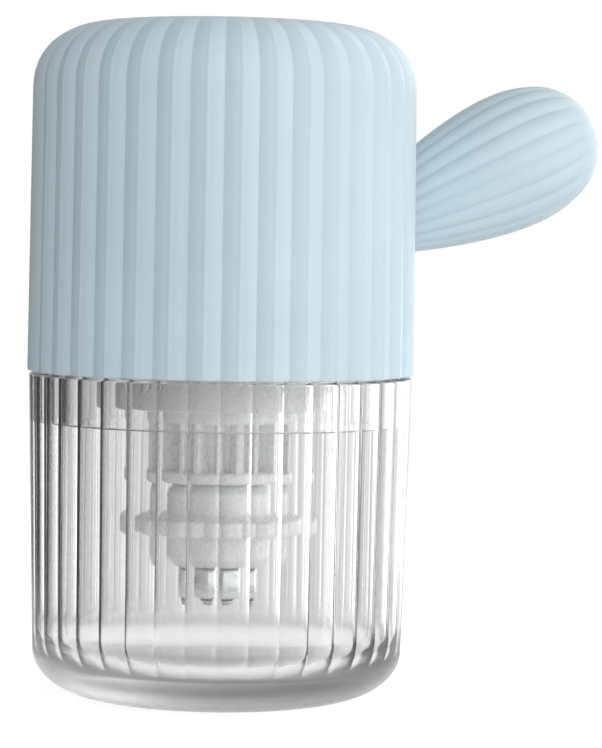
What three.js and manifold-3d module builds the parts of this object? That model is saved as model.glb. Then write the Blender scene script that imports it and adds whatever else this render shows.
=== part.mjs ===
// A hand-turned pill crusher in the shape of a one-armed cactus. A clear jar with 36 inner flutes stands
// on the table. A burr mill plugs into its mouth, and a fluted blue cap drops over the mill's hopper and
// turns its shaft. The cap's side arm is the crank: hold the jar, sweep the arm round.
//
// Millimetres, +Z up. The origin is the middle of the jar's flat foot, and the arm points along +X.
import * as THREE from "three";
import { mergeVertices } from "three/addons/utils/BufferGeometryUtils.js";
import Module from "manifold-3d";

const wasm = await Module();
wasm.setup();

// ---- Driving dimensions --------------------------------------------------------------------------

const GAP = 0.3; // between two pieces that rest on each other
const FLUTES = 36; // round the cap and round the jar's bore

const CAP_RADIUS = 27; // rib crests at the cap's open end
const CAP_SHOULDER_RADIUS = 26.7; // rib crests where the shoulder begins
const CAP_BOTTOM = 45;
const CAP_TOP = 94;
const CAP_WALL = 1.65; // from rib crest to the smooth inside
const CAP_RIB = 0.55; // depth of the valleys between ribs
const SHOULDER_WIDTH = 11; // radial reach of the rounded top edge
const SHOULDER_HEIGHT = 9.6;
const CAP_DOME = 0.6; // rise of the top face at its middle

const JAR_RADIUS = 26.7; // under the cap's rim
const JAR_FOOT_RADIUS = 25.8; // where the rounded foot begins
const FOOT_REACH = 9; // radial reach of the rounded foot
const FOOT_HEIGHT = 6.4;
const JAR_FLOOR = 5; // height of the inside floor
const FLOOR_FILLET = 4.8; // between the inside floor and the bore
const JAR_CREST = 23.6; // bore radius at the flutes' crests
const JAR_VALLEY = 23.9; // bore radius in the flutes
const MOUTH_RADIUS = 24.1; // smooth mouth that the mill plugs into
const MOUTH_BOTTOM = 45.3;
const NECK_RADIUS = 25.1;
const NECK_TOP = 50;

const PLUG_RADIUS = 23.7; // mill body's plug in the jar's mouth
const SKIRT_RADIUS = 23; // its skirt, which reaches down among the flutes
const SKIRT_BOTTOM = 38;
const SKIRT_BORE = 21.7;
const TUBE_RADIUS = 13; // mill body's central tube, round the burrs
const TUBE_WALL = 1.3;
const TUBE_BOTTOM = 42.2;
const TUBE_TOP = 62;
const FLANGE_THICKNESS = 2;

const SHAFT_RADIUS = 3;
const SHAFT_THREAD_RADIUS = 2.4;
const SHAFT_SQUARE = 4.8; // side of the shaft's square top
const BUSH_RADIUS = 4.4;
const RUNNING_GAP = 0.1; // between a shaft and its bush

const ARM_RADIUS = 9.8; // the arm's widest half-thickness
const ARM_LENGTH = 90.3; // length at which the egg's long taper would close
const ARM_PINCH = 45; // the taper steepens towards this length
const ARM_TILT = THREE.MathUtils.degToRad(24.1); // rise of the arm above level
const ARM_TIP = new THREE.Vector3(56.3, 0, 81.0);
const ARM_RIBS = 20;
const ARM_RIB = 0.4;
const ARM_WALL = 1.8;
const ARM_PLUG_END = 34; // X where the solid plug in the arm's root ends

// ---- Materials -----------------------------------------------------------------------------------

function plastic(colour, roughness, opacity = 1) {
  const transparent = opacity < 1;
  return new THREE.MeshStandardMaterial({ color: colour, roughness, metalness: 0, transparent, opacity });
}

function metal(colour, roughness) {
  return new THREE.MeshStandardMaterial({ color: colour, roughness, metalness: 1 });
}

const MATERIALS = {
  blue: () => plastic(0xb9ced8, 0.55),
  clear: () => plastic(0xe6e8e8, 0.08, 0.35),
  frosted: () => plastic(0xdfe2e2, 0.35, 0.6),
  white: () => plastic(0xf0f0ec, 0.45),
  ceramic: () => plastic(0xe9e6df, 0.5),
  silicone: () => plastic(0xd0d3d3, 0.6),
  steel: () => metal(0xc4c6c8, 0.32),
};

// ---- Solids --------------------------------------------------------------------------------------

// A closed geometry as a solid that can be joined and cut.
function solidOf(geometry) {
  const bare = new THREE.BufferGeometry();
  bare.setAttribute("position", geometry.getAttribute("position").clone());
  bare.setIndex(geometry.index ? geometry.index.clone() : null);
  const merged = mergeVertices(bare, 1e-4);
  const made = new wasm.Manifold(
    new wasm.Mesh({
      numProp: 3,
      vertProperties: new Float32Array(merged.attributes.position.array),
      triVerts: new Uint32Array(merged.index.array),
    }),
  );
  if (made.volume() < 0) throw new Error("a solid is inside out");
  return made;
}

function geometryOf(solid) {
  const mesh = solid.getMesh();
  const geometry = new THREE.BufferGeometry();
  geometry.setAttribute("position", new THREE.BufferAttribute(mesh.vertProperties, 3));
  geometry.setIndex(new THREE.BufferAttribute(mesh.triVerts, 1));
  geometry.computeVertexNormals();
  return geometry;
}

// A solid of revolution about Z. The profile is [radius, z] points, anticlockwise with radius to the
// right and Z up, and it ends where it starts or has both ends on the axis.
function turned(profile, segments = 36) {
  const points = profile.map(([r, z]) => new THREE.Vector2(r, z));
  return solidOf(new THREE.LatheGeometry(points, segments).rotateX(Math.PI / 2));
}

function ring(inner, outer, bottom, top, segments = 36) {
  return turned(
    [
      [inner, bottom],
      [outer, bottom],
      [outer, top],
      [inner, top],
      [inner, bottom],
    ],
    segments,
  );
}

function rod(radius, bottom, top, segments = 24) {
  return solidOf(
    new THREE.CylinderGeometry(radius, radius, top - bottom, segments)
      .rotateX(Math.PI / 2)
      .translate(0, 0, (top + bottom) / 2),
  );
}

function block(x, y, z) {
  const [width, depth, height] = [x, y, z].map(([low, high]) => high - low);
  const [cx, cy, cz] = [x, y, z].map(([low, high]) => (low + high) / 2);
  return solidOf(new THREE.BoxGeometry(width, depth, height).translate(cx, cy, cz));
}

// A turned solid whose surface has lengthwise ribs. Each profile row is [radius, z, rib depth], from the
// bottom of the axis to the top of the axis, and twist is in radians per millimetre of height.
function ribbed(profile, ribs, twist = 0) {
  const columns = ribs * 2;
  const positions = [0, 0, profile[0][1]];
  for (const [radius, z, depth] of profile) {
    for (let c = 0; c < columns; c += 1) {
      const angle = (c / columns) * 2 * Math.PI + twist * z;
      const r = c % 2 === 0 ? radius - depth : radius;
      positions.push(r * Math.cos(angle), r * Math.sin(angle), z);
    }
  }
  positions.push(0, 0, profile.at(-1)[1]);
  const top = positions.length / 3 - 1;
  const at = (row, c) => 1 + row * columns + (c % columns);
  const faces = [];
  for (let c = 0; c < columns; c += 1) {
    faces.push(0, at(0, c + 1), at(0, c));
    for (let row = 0; row + 1 < profile.length; row += 1) {
      faces.push(at(row, c), at(row, c + 1), at(row + 1, c + 1));
      faces.push(at(row, c), at(row + 1, c + 1), at(row + 1, c));
    }
    faces.push(top, at(profile.length - 1, c), at(profile.length - 1, c + 1));
  }
  const geometry = new THREE.BufferGeometry();
  geometry.setAttribute("position", new THREE.BufferAttribute(new Float32Array(positions), 3));
  geometry.setIndex(faces);
  return solidOf(geometry);
}

// Points of a quarter ellipse from [cx + rx, cz] to [cx, cz + rz].
function quarter(cx, cz, rx, rz, steps) {
  return Array.from({ length: steps + 1 }, (_, i) => {
    const a = (i / steps) * (Math.PI / 2);
    return [cx + rx * Math.cos(a), cz + rz * Math.sin(a)];
  });
}

function roundAxis(count, make, phase = 0) {
  return Array.from({ length: count }, (_, i) => make(phase + (i / count) * 360, i));
}

function joined(solid, others) {
  return others.reduce((sum, other) => sum.add(other), solid);
}

function without(solid, others) {
  return others.reduce((rest, other) => rest.subtract(other), solid);
}

function piece(name, geometry, material) {
  const mesh = new THREE.Mesh(geometry, MATERIALS[material]());
  mesh.name = name;
  return mesh;
}

function cut(name, solid, material) {
  return piece(name, geometryOf(solid), material);
}

// ---- Jar -----------------------------------------------------------------------------------------

function jar() {
  const foot = quarter(JAR_FOOT_RADIUS - FOOT_REACH, FOOT_HEIGHT, FOOT_REACH, -FOOT_HEIGHT, 6).reverse();
  const shoulder = CAP_BOTTOM - GAP;
  const outside = turned(
    [
      [0, 0],
      ...foot,
      [JAR_RADIUS, shoulder],
      [NECK_RADIUS, shoulder],
      [NECK_RADIUS, NECK_TOP],
      [0, NECK_TOP],
    ],
    60,
  );
  const depth = JAR_VALLEY - JAR_CREST;
  const flat = JAR_VALLEY - FLOOR_FILLET;
  const floor = quarter(flat, JAR_FLOOR + FLOOR_FILLET, FLOOR_FILLET, -FLOOR_FILLET, 4).reverse();
  const rows = floor.map(([r, z], i) => [r, z, (depth * i) / floor.length]);
  const bore = ribbed([...rows, [JAR_VALLEY, MOUTH_BOTTOM + 1, depth]], FLUTES);
  const mouth = rod(MOUTH_RADIUS, MOUTH_BOTTOM, NECK_TOP + 1, 60);
  return cut("jar", outside.subtract(bore).subtract(mouth), "clear");
}

// ---- Mill unit, which plugs into the jar ----------------------------------------------------------

const FLANGE_BOTTOM = NECK_TOP + GAP;
const FLANGE_TOP = FLANGE_BOTTOM + FLANGE_THICKNESS;
const LOWER_HUB = [55.7, 61.7]; // heights of the hub that holds the lower bush
const LOWER_HUB_RADIUS = 5.8;
const UPPER_HUB = [72, 77];
const UPPER_HUB_RADIUS = 6;
const GUSSET_REACH = 20;
const GUSSET_HALF = 0.6; // half of a gusset's thickness
const GUSSET_DEPTH = 3.5;
const HOPPER_RADIUS = 20.2;
const HOPPER_WALL = 1.4;
const HOPPER_TOP = 80;
const FUNNEL_RISE = 8; // from the top of the tube to the widest part of the hopper
const COLLAR_WALL = 2; // of the hopper's collar, round the tube
const SEAL_HEIGHT = 47.9;
const SEAL_GAP = 0.25;
const GROOVE_DEPTH = 1;
const GROOVE_HALF = 1.1; // half of the groove's height
const RETAINER_SCREW_HEIGHT = TUBE_BOTTOM + 2;
const RETAINER_SCREW_RADIUS = 0.8;
const RETAINER_SCREW_PHASE = 90;
const RETAINER_RADIUS = TUBE_RADIUS + 1.5;
const RETAINER_BORE = 10.7;
const RETAINER_LIP = 4.4; // how far its lip reaches up round the tube

// Three arms from a hub out to a wall, with the hub bored for its bush.
function spider(bottom, top, hub, reach, width) {
  const arms = roundAxis(3, (degrees) =>
    block([hub - 1, reach], [-width / 2, width / 2], [bottom, top - 1]).rotate([0, 0, degrees]),
  );
  return joined(ring(BUSH_RADIUS + GAP, hub, bottom, top, 24), arms);
}

// The solid with three level holes for the retainer's screws.
function drilledForRetainer(solid) {
  const holes = roundAxis(3, (degrees) =>
    rod(RETAINER_SCREW_RADIUS + GAP, TUBE_RADIUS - TUBE_WALL - 0.5, RETAINER_RADIUS + 1, 10)
      .rotate([0, 90, degrees])
      .translate([0, 0, RETAINER_SCREW_HEIGHT]),
    RETAINER_SCREW_PHASE,
  );
  return without(solid, holes);
}

function millBody() {
  const inner = TUBE_RADIUS - TUBE_WALL;
  const tube = ring(inner, TUBE_RADIUS, TUBE_BOTTOM, TUBE_TOP);
  const flange = ring(inner, NECK_RADIUS, FLANGE_BOTTOM, FLANGE_TOP);
  const groove = ring(
    PLUG_RADIUS - GROOVE_DEPTH,
    PLUG_RADIUS + 1,
    SEAL_HEIGHT - GROOVE_HALF,
    SEAL_HEIGHT + GROOVE_HALF,
  );
  const plug = ring(SKIRT_BORE, PLUG_RADIUS, MOUTH_BOTTOM + GAP, FLANGE_BOTTOM + 0.5).subtract(groove);
  const skirt = ring(SKIRT_BORE, SKIRT_RADIUS, SKIRT_BOTTOM, MOUTH_BOTTOM + 0.5);
  const gusset = block(
    [TUBE_RADIUS - 0.5, GUSSET_REACH],
    [-GUSSET_HALF, GUSSET_HALF],
    [FLANGE_BOTTOM - GUSSET_DEPTH, FLANGE_BOTTOM + 0.5],
  );
  const gussets = roundAxis(6, (degrees) => gusset.rotate([0, 0, degrees]), 30);
  const hub = spider(...LOWER_HUB, LOWER_HUB_RADIUS, inner + 0.4, 2.2);
  const body = joined(tube, [flange, plug, skirt, hub, ...gussets]);
  return cut("mill_body", drilledForRetainer(body), "clear");
}

function hopper() {
  const collar = TUBE_RADIUS + GAP;
  const throat = TUBE_RADIUS - TUBE_WALL;
  const cup = turned([
    [collar, FLANGE_TOP + GAP],
    [collar + COLLAR_WALL, FLANGE_TOP + GAP],
    [collar + COLLAR_WALL, TUBE_TOP],
    [HOPPER_RADIUS, TUBE_TOP + FUNNEL_RISE],
    [HOPPER_RADIUS, HOPPER_TOP],
    [HOPPER_RADIUS - HOPPER_WALL, HOPPER_TOP],
    [HOPPER_RADIUS - HOPPER_WALL, TUBE_TOP + FUNNEL_RISE + 0.6],
    [throat, TUBE_TOP + 1.2],
    [throat, TUBE_TOP + GAP],
    [collar, TUBE_TOP + GAP],
    [collar, FLANGE_TOP + GAP],
  ]);
  const hub = spider(...UPPER_HUB, UPPER_HUB_RADIUS, HOPPER_RADIUS - HOPPER_WALL + 0.4, 2.4);
  return cut("hopper", cup.add(hub), "frosted");
}

function outerBurr() {
  const outside = rod(TUBE_RADIUS - TUBE_WALL - GAP, TUBE_BOTTOM + GAP, FLANGE_BOTTOM, 36);
  const teeth = ribbed(
    [
      [10.5, TUBE_BOTTOM - 1, 0.6],
      [9.9, FLANGE_BOTTOM + 1, 0.9],
    ],
    24,
    0.012,
  );
  return cut("outer_burr", outside.subtract(teeth), "ceramic");
}

function burrRetainer() {
  const top = TUBE_BOTTOM - GAP;
  const bottom = top - 1.6;
  const lipBore = TUBE_RADIUS + GAP;
  const cup = turned([
    [RETAINER_BORE, bottom],
    [RETAINER_RADIUS, bottom],
    [RETAINER_RADIUS, top + RETAINER_LIP],
    [lipBore, top + RETAINER_LIP],
    [lipBore, top],
    [RETAINER_BORE, top],
    [RETAINER_BORE, bottom],
  ]);
  return cut("burr_retainer", drilledForRetainer(cup), "frosted");
}

function retainerScrew(degrees, index) {
  const head = rod(1.5, 0, 1.2, 16).add(rod(RETAINER_SCREW_RADIUS, -2.6, 0.2, 10));
  const slot = block([-2, 2], [-0.2, 0.2], [0.7, 2]);
  const screw = cut(`retainer_screw_${index + 1}`, head.subtract(slot), "steel");
  const angle = THREE.MathUtils.degToRad(degrees);
  const reach = RETAINER_RADIUS + GAP;
  screw.position.set(reach * Math.cos(angle), reach * Math.sin(angle), RETAINER_SCREW_HEIGHT);
  screw.rotation.set(0, Math.PI / 2, angle, "ZYX");
  return screw;
}

function sealRing() {
  const outer = MOUTH_RADIUS - SEAL_GAP;
  const inner = PLUG_RADIUS - GROOVE_DEPTH + SEAL_GAP;
  const section = Array.from({ length: 7 }, (_, i) => {
    const a = (i / 6) * 2 * Math.PI;
    return [(outer + inner) / 2 + ((outer - inner) / 2) * Math.cos(a), SEAL_HEIGHT + 0.9 * Math.sin(a)];
  });
  return cut("seal_ring", turned(section), "silicone");
}

function bush(name, [bottom, top]) {
  return cut(name, ring(SHAFT_RADIUS + RUNNING_GAP, BUSH_RADIUS, bottom, top, 24), "white");
}

// ---- Rotor: everything that turns on the shaft under the cap --------------------------------------

const BURR_BOTTOM = 41;
const BURR_TOP = 50.5;
const CARRIER_BOTTOM = 30.2;
const CARRIER_RADIUS = 9.4;
const CARRIER_HUB_RADIUS = 5.2;
const KNOB_BOTTOM = 18.5;
const KNOB_TOP = 29.9;
const KNOB_RADIUS = 12.2;
const KNOB_BARREL_RADIUS = 7.4;
const NUT_RADIUS = 4.2; // to its corners
const NUT_HEIGHT = 4.2;
const WASHER_RADIUS = 6.2;
const SHAFT_BOTTOM = 13;
const SQUARE_BOTTOM = 79;
const SHAFT_TOP = 85.5;
const CLIP_BOTTOM = UPPER_HUB[1] + GAP;

function driveShaft() {
  const half = SHAFT_SQUARE / 2;
  const groove = ring(SHAFT_RADIUS - 0.5, SHAFT_RADIUS + 1, CLIP_BOTTOM - 0.1, CLIP_BOTTOM + 0.9, 24);
  const solid = rod(SHAFT_THREAD_RADIUS, SHAFT_BOTTOM, CARRIER_BOTTOM + 0.5)
    .add(rod(SHAFT_RADIUS, CARRIER_BOTTOM, SQUARE_BOTTOM))
    .subtract(groove)
    .add(block([-half, half], [-half, half], [SQUARE_BOTTOM - 1, SHAFT_TOP]));
  return cut("drive_shaft", solid, "steel");
}

function innerBurr() {
  const body = ribbed(
    [
      [9.9, BURR_BOTTOM, 0.7],
      [9.6, BURR_BOTTOM + 2.5, 0.8],
      [7.6, BURR_BOTTOM + 6, 1.6],
      [5.4, BURR_TOP, 1],
    ],
    16,
    0.06,
  );
  const bore = rod(SHAFT_RADIUS + GAP, BURR_BOTTOM - 1, BURR_TOP + 1);
  return cut("inner_burr", body.subtract(bore), "ceramic");
}

// The plastic drum under the inner burr: two discs and a hub, joined by eight upright fins.
function burrCarrier() {
  const top = BURR_BOTTOM - GAP;
  const bore = SHAFT_RADIUS + GAP;
  const upperDisc = ring(bore, CARRIER_RADIUS, top - 2.2, top);
  const lowerDisc = ring(bore, CARRIER_RADIUS, CARRIER_BOTTOM, CARRIER_BOTTOM + 1.6);
  const fins = roundAxis(8, (degrees) =>
    block([bore + 1, CARRIER_RADIUS - 0.2], [-0.9, 0.9], [CARRIER_BOTTOM + 0.5, top - 0.5])
      .rotate([0, 0, degrees]),
  );
  const hub = ring(bore, CARRIER_HUB_RADIUS, CARRIER_BOTTOM, top, 24);
  return cut("burr_carrier", joined(hub, [upperDisc, lowerDisc, ...fins]), "frosted");
}

// The knob that sets the grind: a thin lobed wheel round the middle of a barrel.
function adjustKnob() {
  const middle = (KNOB_BOTTOM + KNOB_TOP) / 2;
  const chamfer = 1.2;
  const lobe = 1;
  const profile = [
    [KNOB_BARREL_RADIUS - chamfer, KNOB_BOTTOM, 0],
    [KNOB_BARREL_RADIUS, KNOB_BOTTOM + chamfer, 0],
    [KNOB_BARREL_RADIUS, middle - 1.5, 0],
    [KNOB_RADIUS, middle - 1.1, lobe],
    [KNOB_RADIUS, middle + 1.1, lobe],
    [KNOB_BARREL_RADIUS, middle + 1.5, 0],
    [KNOB_BARREL_RADIUS, KNOB_TOP - chamfer, 0],
    [KNOB_BARREL_RADIUS - chamfer, KNOB_TOP, 0],
  ];
  const bore = rod(SHAFT_THREAD_RADIUS + GAP, KNOB_BOTTOM - 1, KNOB_TOP + 1);
  return cut("adjust_knob", ribbed(profile, 12).subtract(bore), "frosted");
}

function lockNut() {
  const top = KNOB_BOTTOM - GAP;
  const nut = rod(NUT_RADIUS, top - NUT_HEIGHT, top, 6);
  const bore = rod(SHAFT_THREAD_RADIUS + GAP, 0, top + 1);
  return cut("lock_nut", nut.subtract(bore), "steel");
}

function thrustWasher() {
  const bottom = BURR_TOP + GAP;
  return cut("thrust_washer", ring(SHAFT_RADIUS + GAP, WASHER_RADIUS, bottom, bottom + 0.6), "white");
}

class Helix extends THREE.Curve {
  constructor(radius, bottom, top, turns) {
    super();
    Object.assign(this, { radius, bottom, top, turns });
  }

  getPoint(t, target = new THREE.Vector3()) {
    const angle = t * this.turns * 2 * Math.PI;
    const height = this.bottom + (this.top - this.bottom) * t;
    return target.set(this.radius * Math.cos(angle), this.radius * Math.sin(angle), height);
  }
}

function burrSpring() {
  const wire = 0.4;
  const coil = new Helix(4.6, BURR_TOP + 1.2 + wire, LOWER_HUB[0] - GAP - wire, 3.5);
  const section = new THREE.Shape().absarc(0, 0, wire, 0, 2 * Math.PI);
  const swept = new THREE.ExtrudeGeometry(section, { steps: 44, curveSegments: 4, extrudePath: coil });
  return piece("burr_spring", swept, "steel");
}

// An open ring that snaps into the shaft's groove above the upper bush.
function retainingClip() {
  const outer = 5;
  const inner = SHAFT_RADIUS - 0.2;
  const mouth = 0.6; // half-angle of the opening, in radians
  const shape = new THREE.Shape();
  shape.absarc(0, 0, outer, mouth, 2 * Math.PI - mouth, false);
  shape.absarc(0, 0, inner, 2 * Math.PI - mouth, mouth, true);
  const plate = new THREE.ExtrudeGeometry(shape, { depth: 0.7, bevelEnabled: false, curveSegments: 18 });
  const clip = piece("retaining_clip", plate, "steel");
  clip.position.z = CLIP_BOTTOM;
  return clip;
}

// ---- Cap, with the parts fixed in it --------------------------------------------------------------

const PLATE = [84, 86.5]; // heights of the drive plate
const PLATE_RADIUS = 14;
const SOCKET_RADIUS = 6; // outside of the plate's square socket
const SOCKET_BOTTOM = 79.6;
const BOSS_CIRCLE = 10;
const CAP_SCREW_RADIUS = 1.1;
const CAP_SCREW_PHASE = 60;
const ARM_SCREW_RADIUS = 1;
const ARM_SCREW_HEIGHTS = { lower: 66.2, upper: 70.9 };
const ARM_SCREW_HEAD = 23.3; // X of the arm screws' heads, inside the cap
const SCREW_HEAD_HEIGHT = 1.5;

// The cap's section from its rim up, moved in by inset. Ribs fade out on the way to the top's middle.
function capProfile(inset, rib) {
  const flat = CAP_SHOULDER_RADIUS - SHOULDER_WIDTH;
  const edge = CAP_TOP - CAP_DOME - inset;
  const shoulder = quarter(flat, edge - SHOULDER_HEIGHT, SHOULDER_WIDTH - inset, SHOULDER_HEIGHT, 6);
  const rows = [[CAP_RADIUS - inset, CAP_BOTTOM, rib]];
  shoulder.forEach(([r, z], i) => rows.push([r, z, rib * (1 - 0.8 * (i / 6) ** 3)]));
  for (const share of [0.66, 0.33]) {
    rows.push([flat * share, edge + CAP_DOME * (1 - share * share), rib * 0.2 * share * share]);
  }
  return rows;
}

// Holes for the arm's screws, from inside the cap out to an X.
function armScrewHoles(end) {
  return Object.values(ARM_SCREW_HEIGHTS).map((height) =>
    rod(ARM_SCREW_RADIUS + GAP, 20, end, 12).rotate([0, 90, 0]).translate([0, 0, height]),
  );
}

function capShell() {
  const inner = capProfile(CAP_WALL, 0).map(([r, z]) => [r, z]);
  inner[0][1] = CAP_BOTTOM - 1;
  const hollow = turned([[0, CAP_BOTTOM - 1], ...inner, [0, inner.at(-1)[1] + 0.05]]);
  const bosses = roundAxis(3, (degrees) =>
    rod(2.7, PLATE[1] + GAP, CAP_TOP - 1.5, 16)
      .subtract(rod(CAP_SCREW_RADIUS + GAP, 0, CAP_TOP - 3, 12))
      .translate([BOSS_CIRCLE, 0, 0])
      .rotate([0, 0, degrees]),
    CAP_SCREW_PHASE,
  );
  const shell = ribbed(capProfile(0, CAP_RIB), FLUTES);
  return cut("cap_shell", joined(without(shell, [hollow, ...armScrewHoles(30)]), bosses), "blue");
}

// The plate screwed up inside the cap, whose square socket drops over the shaft's square top.
function drivePlate() {
  const half = SHAFT_SQUARE / 2 + GAP;
  const socket = block([-half, half], [-half, half], [70, SHAFT_TOP + GAP]);
  const boss = rod(SOCKET_RADIUS, SOCKET_BOTTOM, PLATE[1] + 1.5, 24);
  const disc = rod(PLATE_RADIUS, ...PLATE, 36).add(boss).subtract(socket);
  const rib = block([SOCKET_RADIUS - 1, PLATE_RADIUS - 1], [-0.8, 0.8], [PLATE[0] - 1.8, PLATE[0] + 0.5]);
  const hole = rod(CAP_SCREW_RADIUS + GAP, 70, 95, 12).translate([BOSS_CIRCLE, 0, 0]);
  const ribs = roundAxis(3, (degrees) => rib.rotate([0, 0, degrees]));
  const holes = roundAxis(3, (degrees) => hole.rotate([0, 0, degrees]), CAP_SCREW_PHASE);
  return cut("drive_plate", without(joined(disc, ribs), holes), "white");
}

// A pan-head screw along +Z, its head below z = 0, with a cross recess.
function panScrew(name, radius, headRadius, length) {
  const head = turned(
    [
      [0, -SCREW_HEAD_HEIGHT],
      [headRadius * 0.7, -SCREW_HEAD_HEIGHT],
      [headRadius, -0.8],
      [headRadius, 0],
      [0, 0],
    ],
    18,
  );
  const slot = block([-1.3, 1.3], [-0.3, 0.3], [-2, -0.9]);
  const shank = rod(radius, -0.5, length, 12);
  return cut(name, without(head.add(shank), [slot, slot.rotate([0, 0, 90])]), "steel");
}

function drivePlateScrew(degrees, index) {
  const screw = panScrew(`drive_plate_screw_${index + 1}`, CAP_SCREW_RADIUS, 2.3, 6);
  const angle = THREE.MathUtils.degToRad(degrees);
  screw.position.set(BOSS_CIRCLE * Math.cos(angle), BOSS_CIRCLE * Math.sin(angle), PLATE[0] - GAP);
  return screw;
}

// ---- Arm, the crank on the cap's side --------------------------------------------------------------

// Half-thickness of the arm at a distance from its tip: blunt at the tip, with a long taper to the root.
function armRadius(distance, inset = 0) {
  const t = distance / ARM_LENGTH;
  const pinch = 1 - (distance / ARM_PINCH) ** 8;
  const full = ARM_RADIUS * Math.sqrt(7 * t) * (((1 - t) * 7) / 6) ** 3 * pinch;
  return Math.max(full - inset, 0.05);
}

// The arm's outer form moved in by inset, placed with its tip at ARM_TIP and its root towards the axis.
function armForm(inset, rib, rows) {
  const first = inset * 0.9 + 0.05;
  const last = 36;
  const profile = Array.from({ length: rows + 1 }, (_, i) => {
    const distance = first + (last - first) * (i / rows) ** 1.8;
    const fade = Math.min(1, distance / 6);
    return [armRadius(distance, inset), -distance, rib * fade];
  }).reverse();
  const turn = new THREE.Matrix4().makeRotationY(Math.PI / 2 - ARM_TILT).setPosition(ARM_TIP);
  return ribbed(profile, ARM_RIBS).transform(turn.toArray());
}

function arm() {
  const space = (x, y) => block(x, y, [0, 120]);
  const cap = rod(CAP_RADIUS + GAP, 40, 100, 4 * FLUTES);
  const skin = without(armForm(0, ARM_RIB, 11), [armForm(ARM_WALL, 0, 7), cap]);
  const plug = without(armForm(ARM_WALL + GAP, 0, 6), [cap, ...armScrewHoles(60)]);
  return assembly(
    cut("arm_front_shell", skin.intersect(space([0, 100], [-30, -GAP / 2])), "blue"),
    cut("arm_back_shell", skin.intersect(space([0, 100], [GAP / 2, 30])), "blue"),
    cut("arm_root_plug", plug.intersect(space([0, ARM_PLUG_END], [-30, 30])), "white"),
    ...Object.keys(ARM_SCREW_HEIGHTS).map(armScrew),
  );
}

function armScrew(which) {
  const screw = panScrew(`arm_screw_${which}`, ARM_SCREW_RADIUS, 2, 9);
  screw.position.set(ARM_SCREW_HEAD + SCREW_HEAD_HEIGHT, 0, ARM_SCREW_HEIGHTS[which]);
  screw.rotation.y = Math.PI / 2;
  return screw;
}

// ---- Assembly --------------------------------------------------------------------------------------

function assembly(...parts) {
  const group = new THREE.Group();
  group.add(...parts);
  return group;
}

const pillCrusher = assembly(
  jar(),
  assembly(
    millBody(),
    hopper(),
    outerBurr(),
    burrRetainer(),
    ...roundAxis(3, retainerScrew, RETAINER_SCREW_PHASE),
    sealRing(),
    bush("lower_bush", LOWER_HUB),
    bush("upper_bush", UPPER_HUB),
  ),
  assembly(
    driveShaft(),
    innerBurr(),
    burrCarrier(),
    adjustKnob(),
    lockNut(),
    thrustWasher(),
    burrSpring(),
    retainingClip(),
  ),
  assembly(capShell(), drivePlate(), ...roundAxis(3, drivePlateScrew, CAP_SCREW_PHASE), arm()),
);

export default pillCrusher;
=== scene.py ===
import math

import bmesh
import bpy
import numpy as np
from mathutils import Matrix, Vector

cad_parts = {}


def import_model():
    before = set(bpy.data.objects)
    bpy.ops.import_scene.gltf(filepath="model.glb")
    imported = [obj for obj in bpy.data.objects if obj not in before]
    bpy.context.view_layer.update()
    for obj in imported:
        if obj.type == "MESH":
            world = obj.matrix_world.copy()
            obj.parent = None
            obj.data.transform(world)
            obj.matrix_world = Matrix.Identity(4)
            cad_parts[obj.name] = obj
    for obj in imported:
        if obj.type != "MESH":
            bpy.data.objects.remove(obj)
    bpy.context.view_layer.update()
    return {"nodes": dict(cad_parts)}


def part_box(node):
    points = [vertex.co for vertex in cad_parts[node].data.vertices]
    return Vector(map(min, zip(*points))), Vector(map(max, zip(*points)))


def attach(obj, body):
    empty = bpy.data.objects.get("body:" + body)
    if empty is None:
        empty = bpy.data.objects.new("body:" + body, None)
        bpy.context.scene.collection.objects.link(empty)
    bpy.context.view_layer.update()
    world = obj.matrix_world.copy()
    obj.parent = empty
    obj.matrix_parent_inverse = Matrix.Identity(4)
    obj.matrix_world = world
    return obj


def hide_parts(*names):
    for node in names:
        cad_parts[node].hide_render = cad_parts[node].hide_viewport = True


# Looks for a hand-turned pill crusher in the shape of a one-armed cactus. Every piece but the plug in the
# arm's root is a fine mesh made here, in the place of the CAD node it replaces. Shapes are worked out in
# millimetres, in the CAD's frame.

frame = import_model()

MM = 0.001
TAU = 2 * math.pi


class Node:
    """One CAD node's box, bottom, top and furthest reach from the Z axis along X or Y, in millimetres."""

    def __init__(self, name):
        low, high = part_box(name)
        self.radius = max(high.x, high.y, -low.x, -low.y) / MM
        self.bottom = low.z / MM
        self.top = high.z / MM
        self.low = [value / MM for value in low]
        self.high = [value / MM for value in high]


CAP = Node("cap_shell")
JAR = Node("jar")
MILL = Node("mill_body")
FLUTES = 36
FIT = 0.3

# ---- Meshes ---------------------------------------------------------------------------------------


def new_object(name, points, faces):
    """An object from points in millimetres, smooth shaded."""
    mesh = bpy.data.meshes.new(name)
    mesh.from_pydata([tuple(MM * float(value) for value in point) for point in points], [], faces)
    mesh.validate()
    made = bpy.data.objects.new(name, mesh)
    bpy.context.scene.collection.objects.link(made)
    tidy_normals(made)
    return made


def tidy_normals(made):
    """Merges doubled points, turns all faces outwards and shades them smooth."""
    form = bmesh.new()
    form.from_mesh(made.data)
    bmesh.ops.remove_doubles(form, verts=form.verts, dist=1e-7)
    bmesh.ops.recalc_face_normals(form, faces=form.faces)
    form.to_mesh(made.data)
    form.free()
    made.data.polygons.foreach_set("use_smooth", [True] * len(made.data.polygons))


def grid_faces(rows, columns, loop_rows=False, loop_columns=True):
    """Quads between rows and columns of points, closed round one or both ways."""
    faces = []
    for row in range(rows if loop_rows else rows - 1):
        for column in range(columns if loop_columns else columns - 1):
            right, up = (column + 1) % columns, (row + 1) % rows
            faces.append(
                (
                    row * columns + column,
                    row * columns + right,
                    up * columns + right,
                    up * columns + column,
                )
            )
    return faces


CORNER_SHARE = 0.4
HOLD_SHARE = 0.07
HOLD_LENGTH = 0.12


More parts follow.
